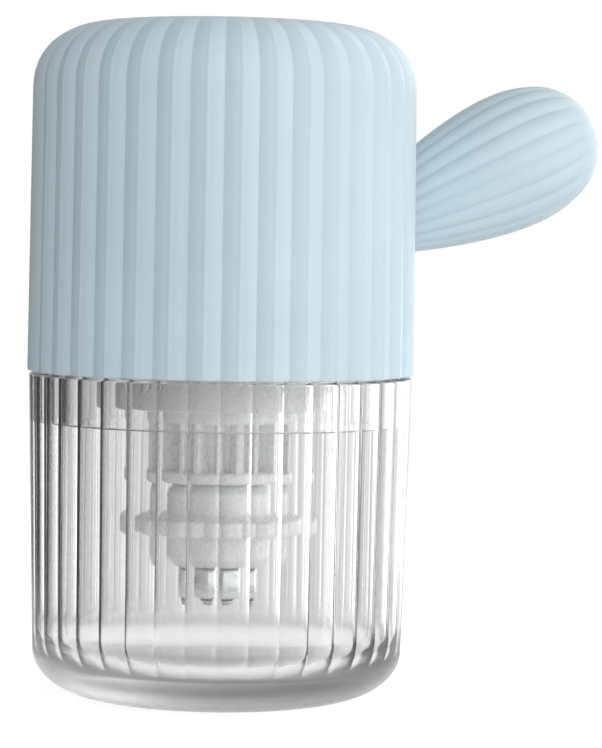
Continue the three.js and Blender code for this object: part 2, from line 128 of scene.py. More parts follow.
def fillet(points, radius, steps=3, closed=True):
    """A profile with its corners rounded. A corner takes at most a share of its shorter side. A point on
    each flat, just past the corner, holds the flat's shading flat."""
    rounded = []
    count = len(points)
    for index, corner in enumerate(points):
        if not closed and index in (0, count - 1):
            rounded.append(tuple(corner))
            continue
        corner = np.array(corner, float)
        before = np.array(points[index - 1], float) - corner
        after = np.array(points[(index + 1) % count], float) - corner
        shorter = min(np.linalg.norm(before), np.linalg.norm(after))
        before /= np.linalg.norm(before)
        after /= np.linalg.norm(after)
        reach = min(radius, CORNER_SHARE * shorter)
        hold = min(HOLD_LENGTH, HOLD_SHARE * shorter)
        rounded.append(tuple(corner + (reach + hold) * before))
        for step in range(steps + 1):
            t = step / steps
            bend = (1 - t) ** 2 * before + t**2 * after
            rounded.append(tuple(corner + reach * bend))
        rounded.append(tuple(corner + (reach + hold) * after))
    return rounded


def turned(name, profile, columns=96, radius_at=None):
    """A solid of revolution about Z. The [radius, z] profile closes on itself, or has both ends on the
    axis. radius_at(radius, z, angle) can shape the radius round the axis."""
    rows = [point for point in profile if point[0] > 1e-6]
    closed = len(rows) == len(profile)
    points = []
    for radius, z in rows:
        for column in range(columns):
            angle = TAU * column / columns
            r = radius_at(radius, z, angle) if radius_at else radius
            points.append((r * math.cos(angle), r * math.sin(angle), z))
    faces = grid_faces(len(rows), columns, loop_rows=closed)
    if not closed:
        for end, row in ((profile[0], 0), (profile[-1], len(rows) - 1)):
            points.append((0, 0, end[1]))
            centre = len(points) - 1
            for column in range(columns):
                faces.append((centre, row * columns + column, row * columns + (column + 1) % columns))
    return new_object(name, points, faces)


def tube_ring(name, inner, outer, bottom, top, edge=0.15, columns=96):
    """A ring with rounded edges."""
    corners = [(inner, bottom), (outer, bottom), (outer, top), (inner, top)]
    return turned(name, fillet(corners, edge), columns)


def rod(name, radius, bottom, top, edge=0.15, columns=48):
    corners = [(0, bottom), (radius, bottom), (radius, top), (0, top)]
    return turned(name, fillet(corners, edge, closed=False), columns)


def block(name, x, y, z, bevel=0.15):
    """A box between pairs of coordinates, with bevelled edges."""
    points = [(a, b, c) for a in x for b in y for c in z]
    faces = [(0, 1, 3, 2), (4, 6, 7, 5), (0, 4, 5, 1), (2, 3, 7, 6), (0, 2, 6, 4), (1, 5, 7, 3)]
    made = new_object(name, points, faces)
    apply(made, "BEVEL", width=bevel * MM, segments=2, limit_method="ANGLE")
    return made


def prism(name, outline, bottom, top, bevel=0.1):
    """An outline of [x, y] points given height, with bevelled edges."""
    count = len(outline)
    points = [(x, y, z) for z in (bottom, top) for x, y in outline]
    sides = [(i, (i + 1) % count, count + (i + 1) % count, count + i) for i in range(count)]
    made = new_object(name, points, [*sides, tuple(range(count))[::-1], tuple(range(count, 2 * count))])
    apply(made, "BEVEL", width=bevel * MM, segments=2, limit_method="ANGLE")
    return made


def apply(made, kind, **settings):
    """Adds a modifier and makes it part of the mesh."""
    modifier = made.modifiers.new(kind.lower(), kind)
    for key, value in settings.items():
        setattr(modifier, key, value)
    bake_modifiers(made)


def bake_modifiers(made):
    graph = bpy.context.evaluated_depsgraph_get()
    mesh = bpy.data.meshes.new_from_object(made.evaluated_get(graph))
    old, made.data = made.data, mesh
    made.modifiers.clear()
    bpy.data.meshes.remove(old)
    mesh.name = made.name
    mesh.polygons.foreach_set("use_smooth", [True] * len(mesh.polygons))


def place(made, matrix):
    made.data.transform(matrix)
    return made


def turn_z(made, degrees):
    return place(made, Matrix.Rotation(math.radians(degrees), 4, "Z"))


def combine(made, others, operation="UNION"):
    """Joins the others to an object, or cuts them from it, and removes them."""
    for other in others:
        modifier = made.modifiers.new("combine", "BOOLEAN")
        modifier.operation = operation
        modifier.solver = "EXACT"
        modifier.object = other
        bake_modifiers(made)
        bpy.data.objects.remove(other)
    return made


def sharpen(made, degrees=35):
    """Shades edges sharper than an angle as edges, so that flat faces stay flat."""
    made.data.set_sharp_from_angle(angle=math.radians(degrees))
    return made


def finish_piece(made, body, slot, material, *nodes):
    """Gives a piece its material, the CAD body that it rides on and the CAD nodes that it replaces."""
    made.data.materials.clear()
    made.data.materials.append(material)
    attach(made, body)
    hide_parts(*nodes)
    return made


# ---- Materials ------------------------------------------------------------------------------------


class Shader:
    """A material with one Principled shader, and short calls to add nodes that feed it."""

    def __init__(self, name, **inputs):
        self.material = bpy.data.materials.new(name)
        self.material.use_nodes = True
        self.tree = self.material.node_tree
        self.principled = self.tree.nodes["Principled BSDF"]
        for key, value in inputs.items():
            self.principled.inputs[key.replace("_", " ")].default_value = value
        self.place = self.add("ShaderNodeTexCoord").outputs["Object"]

    def add(self, kind, **settings):
        node = self.tree.nodes.new(kind)
        for key, value in settings.items():
            setattr(node, key, value)
        return node

    def link(self, start, end):
        self.tree.links.new(start, end)

    def noise(self, size, detail=2.0, stretch=(1, 1, 1)):
        """Noise with features of a size in millimetres, squeezed along each axis by stretch."""
        mapping = self.add("ShaderNodeMapping")
        mapping.inputs["Scale"].default_value = [value / (size * MM) for value in stretch]
        self.link(self.place, mapping.inputs["Vector"])
        noise = self.add("ShaderNodeTexNoise")
        noise.inputs["Scale"].default_value = 1.0
        noise.inputs["Detail"].default_value = detail
        self.link(mapping.outputs["Vector"], noise.inputs["Vector"])
        return noise.outputs["Fac"]

    def height(self):
        """Metres above the foot."""
        split = self.add("ShaderNodeSeparateXYZ")
        self.link(self.place, split.inputs["Vector"])
        return split.outputs["Z"]

    def ramp(self, source, low, high, start=0.35, end=0.65):
        """Two colours or greys, blended as the source goes from start to end."""
        ramp = self.add("ShaderNodeValToRGB")
        for stop, position, value in zip(ramp.color_ramp.elements, (start, end), (low, high)):
            stop.position = position
            stop.color = (*value, 1) if hasattr(value, "__len__") else (value, value, value, 1)
        self.link(source, ramp.inputs["Fac"])
        return ramp.outputs["Color"]

    def bump(self, source, height, strength=1.0):
        """A bump of a height in millimetres, on top of any bump added before it."""
        bump = self.add("ShaderNodeBump")
        bump.inputs["Distance"].default_value = height * MM
        bump.inputs["Strength"].default_value = strength
        self.link(source, bump.inputs["Height"])
        normal = self.principled.inputs["Normal"]
        if normal.is_linked:
            self.link(normal.links[0].from_socket, bump.inputs["Normal"])
        self.link(bump.outputs["Normal"], normal)

    def feed(self, name, source):
        self.link(source, self.principled.inputs[name])

    def let_lamps_through(self, colour):
        """Lamps light what is inside clear plastic: its shadow is only a tint."""
        path = self.add("ShaderNodeLightPath")
        mix = self.add("ShaderNodeMixShader")
        open_shader = self.add("ShaderNodeBsdfTransparent")
        open_shader.inputs["Color"].default_value = (*colour, 1)
        output = self.tree.nodes["Material Output"]
        self.link(path.outputs["Is Shadow Ray"], mix.inputs["Fac"])
        self.link(self.principled.outputs["BSDF"], mix.inputs[1])
        self.link(open_shader.outputs["BSDF"], mix.inputs[2])
        self.link(mix.outputs["Shader"], output.inputs["Surface"])


def blue_plastic():
    shader = Shader("blue_plastic", IOR=1.46, Specular_IOR_Level=0.4)
    cloud = shader.noise(14, detail=3)
    shader.feed("Base Color", shader.ramp(cloud, (0.515, 0.628, 0.686), (0.540, 0.655, 0.712)))
    shader.feed("Roughness", shader.ramp(shader.noise(1.5), 0.46, 0.56))
    shader.bump(shader.noise(0.28, detail=1), 0.006, 0.5)
    shader.bump(shader.noise(5), 0.02, 0.3)
    return shader.material


def clear_plastic():
    shader = Shader("clear_plastic", IOR=1.5, Transmission_Weight=1.0, Specular_IOR_Level=0.5)
    tint = shader.noise(20)
    shader.feed("Base Color", shader.ramp(tint, (0.955, 0.96, 0.96), (0.975, 0.98, 0.98)))
    shader.feed("Roughness", shader.ramp(shader.height(), 0.30, 0.06, 0.0030, 0.0055))
    shader.bump(shader.noise(9, detail=1, stretch=(1, 1, 0.25)), 0.05, 0.35)
    shader.let_lamps_through((0.93, 0.93, 0.93))
    return shader.material


def frosted_plastic():
    shader = Shader("frosted_plastic", IOR=1.48, Transmission_Weight=0.15)
    shader.feed("Base Color", shader.ramp(shader.noise(4), (0.73, 0.74, 0.74), (0.77, 0.78, 0.78)))
    shader.feed("Roughness", shader.ramp(shader.noise(0.8), 0.22, 0.38))
    shader.bump(shader.noise(2.5), 0.015, 0.3)
    shader.let_lamps_through((0.72, 0.72, 0.72))
    return shader.material


def white_plastic():
    shader = Shader("white_plastic", IOR=1.46)
    shader.feed("Base Color", shader.ramp(shader.noise(6), (0.80, 0.80, 0.78), (0.86, 0.86, 0.84)))
    shader.feed("Roughness", shader.ramp(shader.noise(1), 0.35, 0.5))
    shader.bump(shader.noise(0.3), 0.006, 0.5)
    return shader.material


def ceramic():
    shader = Shader("ceramic", IOR=1.6)
    speckle = shader.noise(0.35, detail=1)
    shader.feed("Base Color", shader.ramp(speckle, (0.62, 0.59, 0.54), (0.80, 0.78, 0.73), 0.30, 0.42))
    shader.feed("Roughness", shader.ramp(shader.noise(1), 0.5, 0.7))
    shader.bump(shader.noise(0.2), 0.02, 0.6)
    return shader.material


def silicone():
    shader = Shader("silicone", IOR=1.41, Transmission_Weight=0.4)
    shader.feed("Base Color", shader.ramp(shader.noise(3), (0.62, 0.63, 0.63), (0.70, 0.71, 0.71)))
    shader.feed("Roughness", shader.ramp(shader.noise(0.6), 0.4, 0.55))
    shader.let_lamps_through((0.6, 0.6, 0.6))
    return shader.material


def steel():
    shader = Shader("steel", Metallic=1.0)
    turning = shader.noise(0.25, detail=2, stretch=(0.08, 0.08, 1))
    shader.feed("Base Color", shader.ramp(turning, (0.52, 0.53, 0.54), (0.68, 0.69, 0.70)))
    shader.feed("Roughness", shader.ramp(turning, 0.18, 0.36))
    shader.bump(turning, 0.004, 0.5)
    return shader.material


BLUE = blue_plastic()
CLEAR = clear_plastic()
FROSTED = frosted_plastic()
WHITE = white_plastic()
CERAMIC = ceramic()
SILICONE = silicone()
STEEL = steel()

# ---- Jar ------------------------------------------------------------------------------------------

JAR_RADIUS = 26.7
JAR_FOOT_RADIUS = 25.8
FOOT_REACH = 9.0
FOOT_HEIGHT = 6.4
JAR_FLOOR = 5.0
JAR_VALLEY = 23.9
JAR_FLUTE = 0.28
JAR_FLUTE_POWER = 3.6
FLOOR_FILLET = 4.8
MOUTH_RADIUS = 24.1
MOUTH_BOTTOM = 45.3
NECK_RADIUS = 25.1


def quarter(centre_r, centre_z, reach_r, reach_z, steps, power=2.0):
    """Points of a rounded corner, from its outermost radius to its furthest height."""
    points = []
    for step in range(steps + 1):
        angle = step / steps * math.pi / 2
        points.append(
            (
                centre_r + reach_r * math.cos(angle) ** (2 / power),
                centre_z + reach_z * math.sin(angle) ** (2 / power),
            )
        )
    return points


def scallop(angle, count, depth, power=2.0):
    """How far in a surface of rounded lobes lies at an angle: 0 on a crest, depth in a valley. A higher
    power makes flatter crests and narrower valleys."""
    across = abs((angle / TAU * count) % 1 * 2 - 1)
    return depth * across**power


def jar():
    shoulder = CAP.bottom - FIT
    foot = quarter(JAR_FOOT_RADIUS - FOOT_REACH, FOOT_HEIGHT, FOOT_REACH, -FOOT_HEIGHT, 20)[::-1]
    corners = [
        foot[-1],
        (JAR_RADIUS, shoulder),
        (NECK_RADIUS, shoulder),
        (NECK_RADIUS, JAR.top),
        (MOUTH_RADIUS, JAR.top),
        (MOUTH_RADIUS, MOUTH_BOTTOM),
    ]
    wall = fillet(corners, 0.3, closed=False)
    step = [(JAR_VALLEY - 0.01, MOUTH_BOTTOM - 0.15)]
    flutes = [(JAR_VALLEY - 0.01, MOUTH_BOTTOM - 0.5 - 1.7 * row) for row in range(20)]
    floor_corner = (JAR_VALLEY - FLOOR_FILLET, JAR_FLOOR + FLOOR_FILLET)
    floor = quarter(*floor_corner, FLOOR_FILLET, -FLOOR_FILLET, 12)
    disc = [(JAR_VALLEY - FLOOR_FILLET - 3 * ring, JAR_FLOOR) for ring in range(1, 7)]
    profile = [(0, 0), (8, 0), *foot, *wall[1:], *step, *flutes, *floor, *disc, (0, JAR_FLOOR)]
    inside_from = 2 + len(foot) + len(wall) - 1
    inside = set(profile[inside_from:])
    flat_radius = JAR_VALLEY - FLOOR_FILLET

    def radius_at(radius, z, angle):
        if (radius, z) not in inside or radius < flat_radius:
            return radius
        fade = (radius - flat_radius) / FLOOR_FILLET
        return radius - scallop(angle, FLUTES, JAR_FLUTE * fade, JAR_FLUTE_POWER)

    made = turned("jar_moulded", profile, 16 * FLUTES, radius_at)
    sharpen(made, 40)
    return finish_piece(made, "jar", "clear_plastic", CLEAR, "jar")


# ---- Mill unit ------------------------------------------------------------------------------------

TUBE_RADIUS = 13.0
TUBE_BORE = 11.7
BUSH_RADIUS = 4.4
BUSH_BORE = 3.1
TUBE_BOTTOM = 42.2
FLANGE_THICKNESS = 2.0
PLUG_RADIUS = 23.7
SKIRT_RADIUS = 23.0
SKIRT_BORE = 21.7
GROOVE_RADIUS = 22.7
GROOVE_HALF = 1.1
LOWER_HUB = (55.7, 61.7)
LOWER_HUB_RADIUS = 5.8
UPPER_HUB = (72, 77)
UPPER_HUB_RADIUS = 6
GUSSET_REACH = 20
GUSSET_HALF = 0.6
GUSSET_DEPTH = 3.5
HOPPER_WALL = 1.4
FUNNEL_RISE = 8
COLLAR_WALL = 2
RETAINER_BORE = 10.7
RETAINER_FLOOR = 1.6
RETAINER_SCREW_PHASE = 90


def spider(node, bottom, top, hub, reach, width):
    """A hub with three arms out to a wall."""
    made = tube_ring(f"{node}_hub", BUSH_RADIUS + FIT, hub, bottom, top, 0.25)
    arms = []
    for index in range(3):
        arm = block(f"{node}_arm", (hub - 0.6, reach), (-width / 2, width / 2), (bottom, top - 1), 0.3)
        arms.append(turn_z(arm, 120 * index))
    return combine(made, arms)


def mill_body():
    seal = Node("seal_ring")
    middle = (seal.bottom + seal.top) / 2
    ledge = MOUTH_BOTTOM + FIT
    flange_top = Node("hopper").bottom - FIT
    flange_bottom = flange_top - FLANGE_THICKNESS
    corners = [
        (TUBE_BORE, TUBE_BOTTOM),
        (TUBE_RADIUS, TUBE_BOTTOM),
        (TUBE_RADIUS, flange_bottom),
        (SKIRT_BORE, flange_bottom),
        (SKIRT_BORE, MILL.bottom),
        (SKIRT_RADIUS, MILL.bottom),
        (SKIRT_RADIUS, ledge),
        (PLUG_RADIUS, ledge),
        (PLUG_RADIUS, middle - GROOVE_HALF),
        (GROOVE_RADIUS, middle - GROOVE_HALF),
        (GROOVE_RADIUS, middle + GROOVE_HALF),
        (PLUG_RADIUS, middle + GROOVE_HALF),
        (PLUG_RADIUS, flange_bottom),
        (MILL.radius, flange_bottom),
        (MILL.radius, flange_top),
        (TUBE_RADIUS, flange_top),
        (TUBE_RADIUS, MILL.top),
        (TUBE_BORE, MILL.top),
    ]
    made = turned("mill_body_moulded", fillet(corners, 0.3), 120)
    parts = [spider("mill_body", *LOWER_HUB, LOWER_HUB_RADIUS, TUBE_BORE + 0.4, 2.2)]
    gusset_x = (TUBE_RADIUS - 0.4, GUSSET_REACH)
    gusset_z = (flange_bottom - GUSSET_DEPTH, flange_bottom + 0.5)
    for index in range(6):
        gusset = block("gusset", gusset_x, (-GUSSET_HALF, GUSSET_HALF), gusset_z, 0.2)
        parts.append(turn_z(gusset, 30 + 60 * index))
    combine(made, parts)
    sharpen(made)
    return finish_piece(made, "mill", "clear_plastic", CLEAR, "mill_body")


def hopper():
    node = Node("hopper")
    collar = TUBE_RADIUS + FIT
    bore = node.radius - HOPPER_WALL
    corners = [
        (collar, node.bottom),
        (collar + COLLAR_WALL, node.bottom),
        (collar + COLLAR_WALL, MILL.top),
        (node.radius, MILL.top + FUNNEL_RISE),
        (node.radius, node.top),
        (bore, node.top),
        (bore, MILL.top + FUNNEL_RISE + 0.6),
        (TUBE_BORE, MILL.top + 1.2),
        (TUBE_BORE, MILL.top + FIT),
        (collar, MILL.top + FIT),
    ]
    made = turned("hopper_moulded", fillet(corners, 0.5, 4), 120)
    combine(made, [spider("hopper", *UPPER_HUB, UPPER_HUB_RADIUS, bore + 0.4, 2.4)])
    sharpen(made)
    return finish_piece(made, "mill", "frosted_plastic", FROSTED, "hopper")


def burr_retainer():
    node = Node("burr_retainer")
    top = node.bottom + RETAINER_FLOOR
    corners = [
        (RETAINER_BORE, node.bottom),
        (node.radius, node.bottom),
        (node.radius, node.top),
        (TUBE_RADIUS + FIT, node.top),
        (TUBE_RADIUS + FIT, top),
        (RETAINER_BORE, top),
    ]
    made = sharpen(turned("burr_retainer_moulded", fillet(corners, 0.25)))
    return finish_piece(made, "mill", "frosted_plastic", FROSTED, "burr_retainer")


def seal_ring():
    node = Node("seal_ring")
    tube = (node.top - node.bottom) / 2
    middle = (node.bottom + node.top) / 2
    half_width = 0.55 * tube
    centre = node.radius - half_width
    section = []
    for step in range(16):
        angle = TAU * step / 16
        section.append((centre + half_width * math.cos(angle), middle + tube * math.sin(angle)))
    made = turned("seal_ring_moulded", section)
    return finish_piece(made, "mill", "silicone", SILICONE, "seal_ring")


def bushes():
    for name in ("lower_bush", "upper_bush"):
        node = Node(name)
        made = sharpen(tube_ring(f"{name}_turned", BUSH_BORE, node.radius, node.bottom, node.top, 0.3))
        finish_piece(made, "mill", "white_plastic", WHITE, name)


def outer_burr():
    """A ring with slanting teeth cut in its bore."""
    node = Node("outer_burr")

    def radius_at(radius, z, angle):
        if radius > 11:
            return radius
        slant = 0.012 * z
        return radius - scallop(angle - slant, 24, 0.8)

    rows = [(10.45 - 0.08 * step, node.bottom + (node.top - node.bottom) * step / 8) for step in range(9)]
    corners = [(10.45, node.bottom), (node.radius, node.bottom), (node.radius, node.top), (9.81, node.top)]
    corners = fillet(corners, 0.2)
    profile = [point for point in corners if point[0] > 11] + rows[::-1]
    made = sharpen(turned("outer_burr_fired", profile, 24 * 12, radius_at))
    return finish_piece(made, "mill", "ceramic", CERAMIC, "outer_burr")


# ---- Rotor ----------------------------------------------------------------------------------------

SHAFT_RADIUS = 3.0
SQUARE_HALF = 2.4
THREAD_RADIUS = 2.4
THREAD_PITCH = 0.7
CARRIER_HUB_RADIUS = 5.2
CARRIER_FINS = 8
KNOB_RIM = 12.15
KNOB_BARREL = 7.4
KNOB_LOBES = 12
CLIP_RADIUS = 5.0


def drive_shaft():
    node = Node("drive_shaft")
    carrier = Node("burr_carrier").bottom
    square_bottom = Node("upper_bush").top + 2
    thread_top = carrier - 0.2
    rows = [(0, node.bottom), (THREAD_RADIUS - 0.5, node.bottom)]
    turns = int((thread_top - node.bottom) / THREAD_PITCH)
    for turn in range(turns):
        low = node.bottom + 0.3 + turn * THREAD_PITCH
        crest = [(THREAD_RADIUS, low + 0.3 * THREAD_PITCH), (THREAD_RADIUS, low + 0.45 * THREAD_PITCH)]
        rows += [(THREAD_RADIUS - 0.3, low), *crest]
    rows += [
        (THREAD_RADIUS - 0.1, carrier + 0.02),
        (SHAFT_RADIUS - 0.15, carrier + 0.04),
        (SHAFT_RADIUS, carrier + 0.2),
        (SHAFT_RADIUS, Node("retaining_clip").bottom - 0.1),
        (SHAFT_RADIUS - 0.5, Node("retaining_clip").bottom - 0.1),
        (SHAFT_RADIUS - 0.5, Node("retaining_clip").top + 0.2),
        (SHAFT_RADIUS, Node("retaining_clip").top + 0.2),
        (SHAFT_RADIUS, square_bottom - 0.2),
        (SHAFT_RADIUS - 0.2, square_bottom),
        (0, square_bottom),
    ]
    made = turned("drive_shaft_turned", rows, 48)
    side = (-SQUARE_HALF, SQUARE_HALF)
    square = block("square", side, side, (square_bottom - 1, node.top), 0.3)
    combine(made, [square])
    sharpen(made)
    return finish_piece(made, "drive", "steel", STEEL, "drive_shaft")


def inner_burr():
    """A cone of slanting teeth."""
    node = Node("inner_burr")
    heights = (0, 0.6, 2.5, 4, 6, 8, 9.1, 9.5)
    radii = (9.5, 9.8, 9.6, 8.9, 7.6, 6.4, 5.7, 5.3)
    depths = (0.6, 0.7, 0.8, 1.2, 1.6, 1.3, 1.1, 1.0)
    bore = SHAFT_RADIUS + FIT
    outside = [(radius, node.bottom + height) for radius, height in zip(radii, heights)]
    depth_of = {point: depth for point, depth in zip(outside, depths)}

    def radius_at(radius, z, angle):
        return radius - scallop(angle - 0.06 * z, 16, depth_of.get((radius, z), 0))

    profile = [(bore, node.bottom), *outside, (bore, node.bottom + heights[-1])]
    made = sharpen(turned("inner_burr_fired", profile, 16 * 12, radius_at))
    return finish_piece(made, "drive", "ceramic", CERAMIC, "inner_burr")


def burr_carrier():
    """Two discs and a hub joined by upright fins."""
    node = Node("burr_carrier")
    bore = SHAFT_RADIUS + FIT
    made = tube_ring("burr_carrier_moulded", bore, CARRIER_HUB_RADIUS, node.bottom, node.top, 0.2)
    parts = [
        tube_ring("disc", bore + 0.4, node.radius, node.top - 2.2, node.top - 0.01, 0.4),
        tube_ring("disc", bore + 0.4, node.radius, node.bottom + 0.01, node.bottom + 1.6, 0.4),
    ]
    fin_x = (CARRIER_HUB_RADIUS - 0.6, node.radius - 0.3)
    for index in range(CARRIER_FINS):
        fin = block("fin", fin_x, (-0.9, 0.9), (node.bottom + 0.6, node.top - 0.6), 0.3)
        parts.append(turn_z(fin, 360 / CARRIER_FINS * index))
    combine(made, parts)
    sharpen(made)
    return finish_piece(made, "drive", "frosted_plastic", FROSTED, "burr_carrier")


def adjust_knob():
    """A thin lobed wheel round the middle of a barrel."""
    node = Node("adjust_knob")
    middle = (node.bottom + node.top) / 2
    half = (node.top - node.bottom) / 2
    bore = THREAD_RADIUS + FIT
    side = [(KNOB_BARREL - 1.2, half), (KNOB_BARREL, half - 1.2), (KNOB_BARREL, 1.5), (KNOB_RIM, 1.1)]
    outline = [*side, *[(radius, -height) for radius, height in side[::-1]], (bore, -half), (bore, half)]
    profile = fillet([(radius, middle + height) for radius, height in outline[::-1]], 0.5, 4)

    def radius_at(radius, z, angle):
        return radius - (scallop(angle, KNOB_LOBES, 1.0) if radius > KNOB_RIM - 1 else 0)

    made = sharpen(turned("adjust_knob_moulded", profile, KNOB_LOBES * 16, radius_at), 40)
    return finish_piece(made, "knob", "frosted_plastic", FROSTED, "adjust_knob")


def lock_nut():
    node = Node("lock_nut")
    outline = [(node.radius * math.cos(TAU * k / 6), node.radius * math.sin(TAU * k / 6)) for k in range(6)]
    made = prism("lock_nut_milled", outline, node.bottom, node.top, 0.3)
    combine(made, [rod("bore", THREAD_RADIUS + FIT, node.bottom - 1, node.top + 1)], "DIFFERENCE")
    sharpen(made)
    return finish_piece(made, "drive", "steel", STEEL, "lock_nut")


def thrust_washer():
    node = Node("thrust_washer")
    bore = SHAFT_RADIUS + FIT
    made = sharpen(tube_ring("thrust_washer_pressed", bore, node.radius, node.bottom, node.top, 0.12))
    return finish_piece(made, "drive", "white_plastic", WHITE, "thrust_washer")


def burr_spring():
    """A coil of round wire with flat ends."""
    node = Node("burr_spring")
    wire = 0.4
    turns = 3.5
    radius = node.radius - wire
    low, high = node.bottom + wire, node.top - wire
    steps = 168
    around = 10
    points = []
    for step in range(steps + 1):
        angle = TAU * turns * step / steps
        height = low + (high - low) * step / steps
        for k in range(around):
            r = radius + wire * math.cos(TAU * k / around)
            z = height + wire * math.sin(TAU * k / around)
            points.append((r * math.cos(angle), r * math.sin(angle), z))
    last = steps * around
    ends = [tuple(range(around)), tuple(range(last, last + around))[::-1]]
    made = new_object("burr_spring_wound", points, grid_faces(steps + 1, around) + ends)
    return finish_piece(sharpen(made, 60), "drive", "steel", STEEL, "burr_spring")


def retaining_clip():
    """An open ring, its mouth towards +X."""
    node = Node("retaining_clip")
    half_mouth = 0.6
    inner = SHAFT_RADIUS - 0.4
    sweep = [half_mouth + (TAU - 2 * half_mouth) * k / 40 for k in range(41)]
    outline = [(CLIP_RADIUS * math.cos(a), CLIP_RADIUS * math.sin(a)) for a in sweep]
    outline += [(inner * math.cos(a), inner * math.sin(a)) for a in sweep[::-1]]
    made = sharpen(prism("retaining_clip_pressed", outline, node.bottom, node.top, 0.08))
    return finish_piece(made, "drive", "steel", STEEL, "retaining_clip")


# ---- Cap and arm ----------------------------------------------------------------------------------

CAP_RADIUS = 26.87
CAP_SHOULDER_RADIUS = 26.57
CAP_WALL = 1.65
CAP_RIB = 0.5
CAP_BEAD = 0.08
CAP_BEAD_WIDTH = 0.1
SHOULDER_WIDTH = 11.7
SHOULDER_HEIGHT = 9.7
CAP_DOME = 0.5
ARM_RADIUS = 9.8
ARM_LENGTH = 90.3
ARM_PINCH = 45.0
ARM_TILT = math.radians(24.1)
ARM_TIP = (56.3, 0.0, 81.0)
ARM_RIBS = 20
ARM_RIB = 0.4
ARM_WALL = 1.8
ARM_POINT = 0.02
ARM_RIB_FADE = 6
ARM_HALF_SEAM = 0.012
PLATE_BOTTOM = 84.0
PLATE_TOP = 86.5
SOCKET_RADIUS = 6
CAP_SCREW_RADIUS = 1.1
CAP_SCREW_HEAD = 2.3
ARM_SCREW_RADIUS = 1.0
ARM_SCREW_HEAD = 1.95
SCREW_HEAD_HEIGHT = 1.5
SCREW_PITCH = 0.6


def cap_radius(radius, angle, rib):
    """Lobes with a fine raised line along each crest."""
    across = scallop(angle, FLUTES, 1.0, 1.0)
    bead = CAP_BEAD * rib / CAP_RIB * math.exp(-((across / CAP_BEAD_WIDTH) ** 2))
    return radius - scallop(angle, FLUTES, rib) + bead


def cap_shell():
    flat = CAP_SHOULDER_RADIUS - SHOULDER_WIDTH
    edge = CAP.top - CAP_DOME
    shoulder = quarter(flat, edge - SHOULDER_HEIGHT, SHOULDER_WIDTH, SHOULDER_HEIGHT, 28, 2.3)
    rib_of = {}
    lip = ((0.2, 0.0), (0.06, 0.07), (0.0, 0.25), (0.0, 0.4))
    outside = [(CAP_RADIUS - inward, CAP.bottom + up) for inward, up in lip]
    rib_of.update({point: CAP_RIB for point in outside})
    for step, point in enumerate(shoulder):
        outside.append(point)
        rib_of[point] = CAP_RIB * (1 - 0.72 * (step / 28) ** 4)
    for ring in range(1, 12):
        share = 1 - ring / 12
        point = (flat * share, edge + CAP_DOME * (1 - share * share))
        outside.append(point)
        rib_of[point] = CAP_RIB * 0.28 * share**1.5
    inner_edge = edge - CAP_WALL
    reach = SHOULDER_WIDTH - CAP_WALL
    inner = quarter(flat, inner_edge - SHOULDER_HEIGHT, reach, SHOULDER_HEIGHT, 16, 2.3)
    bore = CAP_RADIUS - CAP_WALL
    inner_lip = [(bore + 0.2, CAP.bottom), (bore + 0.05, CAP.bottom + 0.2), (bore, CAP.bottom + 0.4)]
    profile = [(0, CAP.top), *outside[::-1], *inner_lip, *inner, (0, inner_edge)]

    def radius_at(radius, z, angle):
        return cap_radius(radius, angle, rib_of.get((radius, z), 0))

    made = sharpen(turned("cap_shell_moulded", profile, 26 * FLUTES, radius_at), 40)
    return finish_piece(made, "cap", "blue_plastic", BLUE, "cap_shell")


def arm_radius(distance, inset):
    """Half-thickness of the arm at a distance from its tip, where it closes to a point."""
    if distance <= inset:
        return ARM_POINT
    t = distance / ARM_LENGTH
    pinch = 1 - (distance / ARM_PINCH) ** 8
    return max(ARM_RADIUS * math.sqrt(7 * t) * ((1 - t) * 7 / 6) ** 3 * pinch - inset, ARM_POINT)


def arm_point(distance, angle, inset, rib):
    """A point on the arm's surface. Angle 0 is its underside, and half a turn is its top."""
    fade = min(1.0, distance / ARM_RIB_FADE)
    radius = arm_radius(distance, inset) - scallop(angle, ARM_RIBS, rib * fade)
    along = Vector((math.cos(ARM_TILT), 0, math.sin(ARM_TILT)))
    under = Vector((math.sin(ARM_TILT), 0, -math.cos(ARM_TILT)))
    side = Vector((0, 1, 0))
    return Vector(ARM_TIP) - distance * along + radius * (math.cos(angle) * under + math.sin(angle) * side)


def root_distance(angle, inset, rib):
    """The distance from the tip at which a line down the arm meets the cap's side."""
    low, high = 20.0, 40.0
    for _ in range(30):
        middle = (low + high) / 2
        point = arm_point(middle, angle, inset, rib)
        if math.hypot(point.x, point.y) > CAP_RADIUS - 0.1:
            low = middle
        else:
            high = middle
    return low


